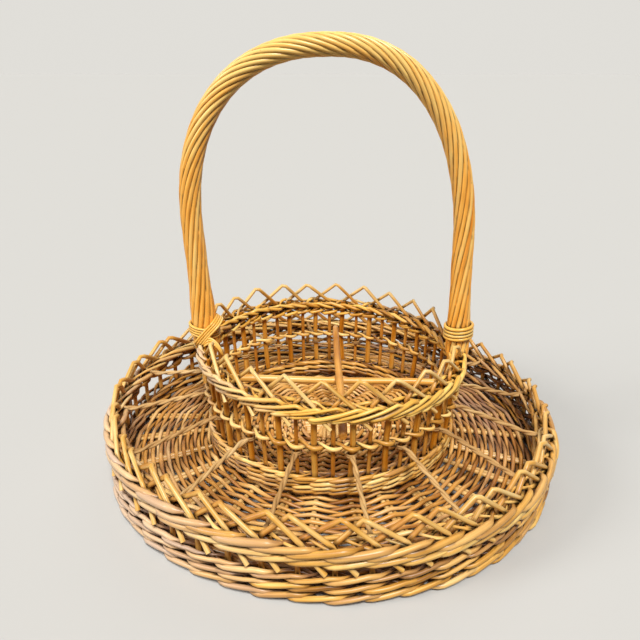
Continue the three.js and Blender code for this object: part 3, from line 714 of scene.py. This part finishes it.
# %% Line of the bow
BOW_CENTRE, BOW_REACH, BOW_TOP = -3.0, 110.4, 341.0
LEFT_SHOULDER, RIGHT_SHOULDER, SQUARENESS = 214.0, 180.0, 2.3
QUARTER_POINTS, BOW_POINTS, EASE_POINTS = 60, 190, 9
left_foot = inner_wall(STAKES / 2, 0.0, INNER_WALE_TOP)
right_foot = inner_wall(0, 1.8, INNER_WALE_TOP)


def bow_quarter(side, shoulder):
    turn = np.linspace(0, math.pi / 2, QUARTER_POINTS)
    x = BOW_CENTRE + side * BOW_REACH * np.clip(np.cos(turn), 0, 1) ** (2 / SQUARENESS)
    z = blend(shoulder, BOW_TOP, np.sin(turn) ** (2 / SQUARENESS))
    return np.stack([x, np.zeros_like(x), z], -1)


def places_along(points, at):
    walked = walk(points)
    return np.stack([np.interp(at, walked, points[:, axis]) for axis in range(3)], -1)


bow = np.vstack([left_foot, bow_quarter(-1, LEFT_SHOULDER),
                 bow_quarter(1, RIGHT_SHOULDER)[::-1][1:], right_foot])
bow_length = walk(bow)[-1]
bow_at = np.linspace(0, 1, BOW_POINTS)
bow_line = places_along(bow, bow_at * bow_length)
ease = np.hanning(EASE_POINTS) / np.hanning(EASE_POINTS).sum()
for axis in (0, 2):
    padded = np.pad(bow_line[:, axis], EASE_POINTS // 2, mode="reflect", reflect_type="odd")
    bow_line[:, axis] = np.convolve(padded, ease, mode="valid")
print("the bow's line is", round(bow_length), "mm long")

# %% [markdown]
# The bow is a bundle of rods twisted round a core, with a long lay up the legs and a short one over
# the top. At each foot the rods flatten out and are pushed down through the wale like stakes. The top is
# painted paler, as light from above would make it, and so the handle shows its twist best where a hand
# would hold it.

# %% Handle
HANDLE_RODS, HANDLE_ROD, HANDLE_OUT = 12, 3.9, 6.8
LEFT_FLARE, RIGHT_FLARE, FLARE_SHARE = 0.34, 0.18, 0.11
LEG_LAY, TOP_LAY = 300.0, 125.0
FOOT_POINTS, FOOT_DEPTH, FOOT_STRAY, FOOT_FLAT, FOOT_SPREAD = 11, 34.0, 8.0, 0.32, 1.12
LEG_TONE, BOW_TOP_PAINTED_LIGHT, BOW_LIT_SPAN, BOW_BLUSH = 0.71, 0.27, (230.0, 335.0), 0.05
CORE_ROD, CORE_DEPTH, CORE_TONE = 9.6, (0, 0, 30), 0.3
bow_along = unit(np.gradient(bow_line, axis=0))
level = np.array([0.0, 1.0, 0.0])
raised = np.cross(bow_along, level)
lay = blend(LEG_LAY, TOP_LAY, np.sin(np.pi * bow_at) ** 2)
turned = np.cumsum(2 * math.pi * bow_length / (BOW_POINTS - 1) / lay[:-1])
bow_turn = np.concatenate([[0.0], turned])
flare = (1 + LEFT_FLARE * smooth(share(FLARE_SHARE, 0, bow_at))
         + RIGHT_FLARE * smooth(share(1 - FLARE_SHARE, 1, bow_at)))


def foot_run(end, offset, down):
    depth = np.linspace(0, 1, FOOT_POINTS + 1)[1:]
    flat = blend(1.0, FOOT_FLAT, share(0, 0.55, depth))
    spread = blend(1.0, FOOT_SPREAD, depth)
    return np.stack([end[0] + offset[0] * flat, offset[1] * spread, end[2] - down * depth], -1)


handle = []
for strand in range(HANDLE_RODS):
    turn = 2 * math.pi * strand / HANDLE_RODS + bow_turn
    out = level * np.cos(turn)[:, None] + raised * np.sin(turn)[:, None]
    out = HANDLE_OUT * flare[:, None] * out
    left = foot_run(left_foot, out[0], FOOT_DEPTH + chance.uniform(-FOOT_STRAY, FOOT_STRAY))[::-1]
    right = foot_run(right_foot, out[-1], FOOT_DEPTH + chance.uniform(-FOOT_STRAY, FOOT_STRAY))
    line = np.vstack([left, bow_line + out, right])
    tone = LEG_TONE + chance.normal(0, 0.06) + wander(len(line), 24, 0.07)
    # Painted light: the top of the bow is paler, as if lit from above.
    tone = tone + BOW_TOP_PAINTED_LIGHT * share(*BOW_LIT_SPAN, line[:, 2])
    thick = HANDLE_ROD * chance.uniform(0.96, 1.05) * np.pad(flare, FOOT_POINTS, mode="edge")
    handle.append(rod(line, thick, tone, BOW_BLUSH, thin=chance.choice([-0.1, 0.1])))
core = np.vstack([[left_foot - CORE_DEPTH], bow_line, [right_foot - CORE_DEPTH]])
handle.append(rod(core, CORE_ROD, CORE_TONE))
bundle("handle_twist", handle, handle_willow,
       ["handle_core"] + numbered("handle_strand", 8))

# %% [markdown]
# Split cane ties the bow's feet to the ring. On one side it makes four level turns. On the other a
# band of four canes also climbs across the leg from the wale, and three more arch over the rim beside
# it. A turn stays level for most of its way and steps up at the back. The other canes are drawn through
# a few points that they touch, and neighbours lie a cane apart.

# %% Lashings
CANE, FLAT_CANE, THIN_CANE = 3.0, 2.2, 1.9
COIL_STEPS, STEP_UP = 28, (0.35, 0.65)
CLIMBING = [(-114, -6, 101), (-112.6, -13.8, 107.5), (-105, -15, 117), (-97.4, -10.5, 124.5),
            (-95.6, 0, 127), (-103, 11.2, 121), (-112, 11, 109), (-113, 6, 100)]
ARCHING = [(-112, -8, 101), (-108.5, -14.6, 107.5), (-102, -16.0, 111.5), (-96, -18.0, 108),
           (-93, -18.6, 103), (-92.5, -15, 98)]
# Each band: the points that it touches, its number of canes, the way to the next cane, its tone.
BANDS = ((CLIMBING, 4, (0.79, 0, -0.61), 0.78), (ARCHING, 3, (0.2, -0.25, -0.95), 0.74))


def coil(centre, slope, wide, deep, turns, pitch):
    at = np.linspace(0, turns, turns * COIL_STEPS + 1)
    angle = 2 * math.pi * (at + 0.25)
    rise = np.floor(at + 0.5) - 0.5 + smooth(share(*STEP_UP, (at + 0.5) % 1.0)) - turns / 2
    x = wide * np.cos(angle)
    return np.asarray(centre, float) + np.stack([x, deep * np.sin(angle), rise * pitch + slope * x], -1)


def through(points, count=60):
    points = np.asarray(points, float)
    apart = walk(points)
    at = np.linspace(0, apart[-1], count)
    tangent = np.gradient(points, apart, axis=0)
    knot = np.clip(np.searchsorted(apart, at, side="right") - 1, 0, len(points) - 2)
    gap = (apart[knot + 1] - apart[knot])[:, None]
    u = ((at - apart[knot]) / gap[:, 0])[:, None]
    return ((2 * u**3 - 3 * u**2 + 1) * points[knot] + (u**3 - 2 * u**2 + u) * gap * tangent[knot]
            + (3 * u**2 - 2 * u**3) * points[knot + 1] + (u**3 - u**2) * gap * tangent[knot + 1])


right_coil = coil(centre=(109.5, 0, 114.6), slope=0.1, wide=11.4, deep=11.4, turns=4, pitch=3.0)
bundle("lashing_right_cane", [rod(right_coil, CANE, tone=0.74)], cane, ["lashing_right"])
left_coil = coil(centre=(-109.0, 0, 116.4), slope=-0.16, wide=12.3, deep=12.1, turns=4, pitch=2.3)
left_canes = [rod(left_coil, FLAT_CANE, tone=0.72)]
for touched, canes, way, tone in BANDS:
    for place in range(canes):
        aside = (place - (canes - 1) / 2) * THIN_CANE
        line = through(touched) + np.array(way) * aside
        left_canes.append(rod(line, THIN_CANE, tone + chance.normal(0, 0.06)))
bundle("lashing_left_cane", left_canes, cane, ["lashing_left"])

# %% [markdown]
# Two stout rods cross the ring and keep the bottles apart. They rest on the row of pairing. The first
# goes straight across, and the second is sprung over it. Each starts as a cylinder whose long edges
# are cut into lengths in edit mode and whose ends are bevelled, because a stout rod shows its cut
# ends. The straight cylinder gives the grain, and only then are its points moved along the bend, with
# a swelling at each old bud and a slow wave up and sideways, because no stick is straight.

# %% Crossed rods
CROSS_SIDES, CROSS_CUTS, CROSS_ROD = 16, 47, 6.4
CUT_BEVEL, CUT_CREASE, AT_END = 0.9, 50, 1e-6
BUTT, TIP, CROSS_BLUSH = 1.05, 0.9, 0.1
BUDS, BUD_SWELL, BUD_LENGTH = 3, 0.09, 0.015
TONE_WAVE, UP_WAVE, SIDE_WAVE = 0.1, 0.5, 0.8


def vertex_values(mesh, key):
    values = np.empty(3 * len(mesh.vertices))
    mesh.vertices.foreach_get(key, values)
    return values.reshape(-1, 3)


def mark_edges(piece, wanted):
    bpy.ops.mesh.select_mode(type="EDGE")
    bpy.ops.mesh.select_all(action="DESELECT")
    edit = bmesh.from_edit_mesh(piece.data)
    for edge in edit.edges:
        edge.select_set(wanted(edge.verts[0].co.z, edge.verts[1].co.z))
    edit.select_flush_mode()
    bmesh.update_edit_mesh(piece.data)


def stout_rod(name, start, end, spring, tone, node):
    start, end = np.asarray(start, float), np.asarray(end, float)
    length = np.linalg.norm(end - start)
    half = MM * length / 2
    bpy.ops.object.select_all(action="DESELECT")
    bpy.ops.mesh.primitive_cylinder_add(vertices=CROSS_SIDES, radius=MM * CROSS_ROD / 2,
                                        depth=MM * length)
    piece = bpy.context.view_layer.objects.active
    piece.name = name
    bpy.ops.object.mode_set(mode="EDIT")
    mark_edges(piece, lambda a, b: abs(a - b) > half)
    bpy.ops.mesh.subdivide(number_cuts=CROSS_CUTS)
    mark_edges(piece, lambda a, b: abs(a - b) < AT_END and abs(abs(a) - half) < AT_END)
    bpy.ops.mesh.bevel(offset=MM * CUT_BEVEL, segments=3, affect="EDGES")
    bpy.ops.object.mode_set(mode="OBJECT")
    bpy.ops.object.shade_smooth_by_angle(angle=math.radians(CUT_CREASE))
    mesh = piece.data
    straight = vertex_values(mesh, "co")
    at = straight[:, 2] / (2 * half) + 0.5
    put(mesh, "grain", straight + chance.uniform(0, 3))
    put(mesh, "tone", tone + TONE_WAVE * np.sin(7 * at))
    put(mesh, "blush", np.full(len(at), CROSS_BLUSH))
    side = unit(np.cross(end - start, (0, 0, 1)))
    up = np.cross(side, unit(end - start))
    thick = blend(BUTT, TIP, at)
    for bud in chance.uniform(0.1, 0.9, BUDS):
        thick = thick + BUD_SWELL * np.exp(-((at - bud) / BUD_LENGTH) ** 2)
    sideways, upward = np.outer(straight[:, 0] * thick, side), np.outer(straight[:, 1] * thick, up)
    place = start + np.outer(at, end - start) + TO_MM * (sideways + upward)
    place[:, 2] += spring * (1 - (2 * at - 1) ** 4) + UP_WAVE * np.sin(9 * at)
    place += np.outer(SIDE_WAVE * np.sin(5 * at + 1), side)
    mesh.vertices.foreach_set("co", MM * place.ravel())
    settle(piece, cross_willow, [node])
    print(name, "is", round(length, 1), "mm long")


def box_mm(node):
    low, high = (TO_MM * np.array(corner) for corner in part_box(node))
    return low, high, (low + high) / 2


low, high, mid = box_mm("cross_rod_lower")
stout_rod("cross_rod_under", (low[0], mid[1], high[2] - CROSS_ROD / 2),
          (high[0], mid[1], low[2] + CROSS_ROD / 2), spring=0.0, tone=0.7, node="cross_rod_lower")
low, high, mid = box_mm("cross_rod_upper")
stout_rod("cross_rod_over", (mid[0], low[1], low[2] + CROSS_ROD / 2),
          (mid[0], high[1], low[2] + CROSS_ROD / 2), spring=7.0, tone=0.5, node="cross_rod_upper")

# %% [markdown]
# Cords of twisted straw part the glasses. Each is two flat plies laid round each other, tied to a
# stake of the ring and to the wale of the outer wall, and pulled tight. Straw is dull and fibrous,
# so its streaks are stronger than those of a peeled rod and it has no coat.

# %% Divider cords
CORDS, CORD, PLY, PLY_OUT, CORD_LAY, CORD_SPACING = 16, 4.2, 2.6, 0.9, 28.0, 1.6
CORD_HEIGHT, CORD_FAR = 58.0, 44.8
RING_END, RING_CLEAR, WALL_CLEAR, WALL_END = 2.5, 10.5, -15.6, -7.6
KNOT_RADIUS, KNOT_PITCH, KNOT_TURNS, KNOT_POINTS = 3.4, 1.6, 2, 40
KNOT_ROD, TAIL_ROD = 1.7, 3.0
CORD_TONE, KNOT_DARKER, CORD_BLUSH = 0.66, 0.2, 0.1
# Twisted straw: dry and fibrous, a dull brown that never gleams.
cord_straw = willow("twisted_straw_cord",
                    "#6E4A1E", "#A67A40", "#C89E60", "#E2C38C", "#BC9878", roughness=0.75, streaks=1.0)
cord_straw.node_tree.nodes["Principled BSDF"].inputs["Coat Weight"].default_value = 0.0


def cord_path(stake):
    ends = [inner_wall(stake, RING_END, CORD_HEIGHT), inner_wall(stake, RING_CLEAR, CORD_HEIGHT),
            outer_wall(stake, WALL_CLEAR, CORD_FAR), outer_wall(stake, WALL_END, CORD_FAR)]
    return straight_runs(ends, CORD_SPACING)


def knot(stake):
    turn = np.linspace(0, 2 * math.pi * KNOT_TURNS, KNOT_POINTS)
    climb = (turn / (2 * math.pi) - KNOT_TURNS / 2) * KNOT_PITCH
    ring = np.stack([KNOT_RADIUS * np.cos(turn), KNOT_RADIUS * np.sin(turn), climb], -1)
    return inner_wall(stake, 0.0, CORD_HEIGHT) + ring


def tail(stake):
    return straight_runs([outer_wall(stake, -8.6, CORD_FAR), outer_wall(stake, -4.5, CORD_FAR + 1.5),
                          outer_wall(stake + 0.1, 0.0, CORD_FAR + 3)], CORD_SPACING)


ties = []
for number in range(1, CORDS + 1):
    stake = STAKES // CORDS * (number - 1) + 1
    path = cord_path(stake)
    walked = walk(path)
    out = unit(path[-1] - path[0])
    side = unit(np.cross(out, (0, 0, 1)))
    up = np.cross(side, out)
    begin, tone = chance.uniform(0, 6), CORD_TONE + chance.normal(0, 0.1)
    plies = []
    for ply in (0, math.pi):
        turn = 2 * math.pi * walked / CORD_LAY + begin + ply
        line = path + PLY_OUT * (np.cos(turn)[:, None] * side + np.sin(turn)[:, None] * up)
        plies.append(rod(line, PLY, tone + chance.normal(0, 0.05), CORD_BLUSH))
    piece = bundle(f"cord_{number:02d}", plies, cord_straw, [f"divider_cord_{number}"])
    ties.append(rod(knot(stake), KNOT_ROD, tone - KNOT_DARKER, CORD_BLUSH))
    ties.append(rod(tail(stake), TAIL_ROD, tone, CORD_BLUSH))
bundle("cord_ties", ties, cord_straw, [])

# %% [markdown]
# Painted shade darkens each rod where it lies against others, and those dark lines are what makes
# wickerwork read as separate rods. To find such places, the space round the carrier is divided into
# small cubes, and those that hold a rod are marked. From each point of a rod's skin a few feelers go
# out, and the share of them that meet a marked cube says how much painted shade the point gets. The
# bow and the two rims get a little less. The spokes lie under the rows, where it would only make them
# black, so they get far less.

# %% Painted shade in the crevices
CUBE, CREVICE_SHADE_MOST, FEELERS = 1.0, 0.97, (1.6, 2.6, 4.0)
UNSHADED_SHARE, FULL_SHADE_SHARE, SLANT = 0.1, 0.53, (0.31, 0.59, 0.74)
LESS_CREVICE_SHADE = {"handle_twist": 0.92, "outer_rim_wale": 0.92, "inner_rim_wale": 0.92,
               "floor_spokes": 0.35}
GRID_CORNER, GRID_CUBES = np.array([-205.0, -205.0, -5.0]), (410, 410, 370)
filled = np.zeros(GRID_CUBES, bool)


def cube_of(place):
    return np.floor((place - GRID_CORNER) / CUBE).astype(int)


for each in all_rods:
    points, radius = each["points"], np.median(each["radius"])
    middle = places_along(points, np.arange(0, walk(points)[-1], CUBE))
    reach = np.arange(-math.ceil(radius), math.ceil(radius) + 1)
    ball = np.stack(np.meshgrid(reach, reach, reach), -1).reshape(-1, 3)
    ball = ball[np.linalg.norm(ball, axis=1) <= radius]
    cubes = cube_of(middle[:, None, :] + ball[None]).reshape(-1, 3)
    filled[tuple(cubes.T)] = True


def meets(place):
    cubes = np.clip(cube_of(TO_MM * place), 0, np.array(filled.shape) - 1)
    return filled[tuple(cubes.T)]


# Painted shade: the more feelers meet other rods, the darker the point is made.
for piece in all_pieces:
    place, normal = vertex_values(piece.data, "co"), vertex_values(piece.data, "normal")
    aside = unit(np.cross(normal, SLANT))
    across = np.cross(normal, aside)
    ways = (normal, normal + aside, normal - aside, normal + across, normal - across)
    met = np.zeros(len(place))
    for way in ways:
        for far in FEELERS:
            met += meets(place + MM * far * unit(way))
    most = LESS_CREVICE_SHADE.get(piece.name, CREVICE_SHADE_MOST)
    put(piece.data, "crevice_shade", most * smooth(share(UNSHADED_SHARE, FULL_SHADE_SHARE, met / (len(ways) * len(FEELERS)))))
print("cubes that hold a rod:", int(filled.sum()))

# %% [markdown]
# The set is plain: a pale floor without end under a pale sky of the same brightness, so no horizon
# shows. Both are pale only where they are looked at, straight or in a gleam. To the rods they are
# darker, so that the lamps do the lighting. Matt paper gives the eye nothing but the shadow.

# %% Stage
PALE, SHADED_PALE = "#C4C2BD", "#77746E"
SKY_SEEN, SKY_LIGHT = 1.36, 0.14
FLOOR_SIZE, PAPER_ROUGHNESS = 30.0, 0.95


def looked_at(tree):
    path = add(tree, "ShaderNodeLightPath")
    direct = add(tree, "ShaderNodeMath", {"operation": "MAXIMUM"},
                 _0=path.outputs["Is Camera Ray"], _1=path.outputs["Is Transmission Ray"])
    return add(tree, "ShaderNodeMath", {"operation": "MAXIMUM"},
               _0=direct.outputs[0], _1=path.outputs["Is Glossy Ray"]).outputs[0]


bpy.ops.object.select_all(action="DESELECT")
bpy.ops.mesh.primitive_plane_add(size=FLOOR_SIZE, location=(0, 0, 0))
floor = bpy.context.view_layer.objects.active
floor.name = "studio_floor"
paper = bpy.data.materials.new("pale_matt_paper")
paper.use_nodes = True
paper_shader = paper.node_tree.nodes["Principled BSDF"]
tint = add(paper.node_tree, "ShaderNodeMix", {"data_type": "RGBA"}, _0=looked_at(paper.node_tree),
           _6=linear(SHADED_PALE), _7=linear(PALE))
paper.node_tree.links.new(tint.outputs[2], paper_shader.inputs["Base Color"])
paper_shader.inputs["Roughness"].default_value = PAPER_ROUGHNESS
paper_shader.inputs["Specular IOR Level"].default_value = 0.0
floor.data.materials.append(paper)
world = bpy.data.worlds.new("studio")
bpy.context.scene.world = world
world.use_nodes = True
sky = world.node_tree
strength = add(sky, "ShaderNodeMix", {"data_type": "FLOAT"},
               _0=looked_at(sky), _2=SKY_LIGHT, _3=SKY_SEEN)
sky.nodes["Background"].inputs["Color"].default_value = linear(PALE)
sky.links.new(strength.outputs[0], sky.nodes["Background"].inputs["Strength"])
print("the floor is", FLOOR_SIZE, "m wide")

# %% [markdown]
# The key is a soft lamp high in front, a little to the right, as in the photograph. A low one at the
# left gives the pale edges there, and two weak ones fill the shade. All shine from far off, which
# keeps the floor even.

# %% Light
# Each lamp: where it shines from, its power, and how many degrees of the sky it takes up.
LAMPS = {"key": ((0.15, -0.9, 1.4), 3.5, 16), "window": ((-1.0, -0.3, 0.6), 1.4, 24),
         "fill": ((-0.7, -0.8, 0.9), 0.3, 40), "back": ((0.3, 1.0, 1.2), 0.3, 40)}
for name, (place, power, spread) in LAMPS.items():
    lamp_data = bpy.data.lights.new(name, "SUN")
    lamp_data.energy = power
    lamp_data.angle = math.radians(spread)
    lamp = bpy.data.objects.new(name, lamp_data)
    bpy.context.scene.collection.objects.link(lamp)
    lamp.location = place
    aim = -np.array(place)
    turn = math.atan2(aim[1], aim[0]) - math.pi / 2
    lamp.rotation_euler = (math.acos(-aim[2] / np.linalg.norm(aim)), 0, turn)
print("lamps:", len(bpy.data.lights))
